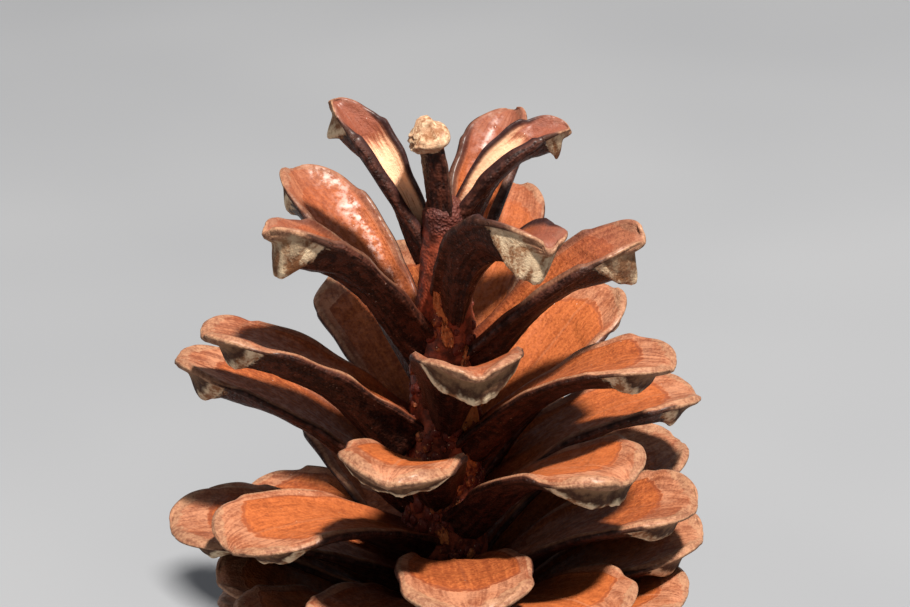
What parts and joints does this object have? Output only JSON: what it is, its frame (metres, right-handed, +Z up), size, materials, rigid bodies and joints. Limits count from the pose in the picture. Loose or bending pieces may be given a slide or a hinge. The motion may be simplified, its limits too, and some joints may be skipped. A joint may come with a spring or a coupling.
{
  "type": "pine cone",
  "caption": "Open, mature pine cone that stands upright: thick woody scales spread in one spiral from a tapering stem, each with a swollen shield at its tip.",
  "frame": {"origin": "centre of the stalk's cut end, on the ground under the cone's axis", "axes": "+Z up along the cone's axis, from the stalk to the tip; +X to the right and +Y away from the viewer in the picture"},
  "size_m": [0.0456, 0.0447, 0.059],
  "materials": {
    "cone_wood": "satin"
  },
  "bodies": {
    "root": {"pine_cone": "cone_wood"}
  },
  "joints": []
}
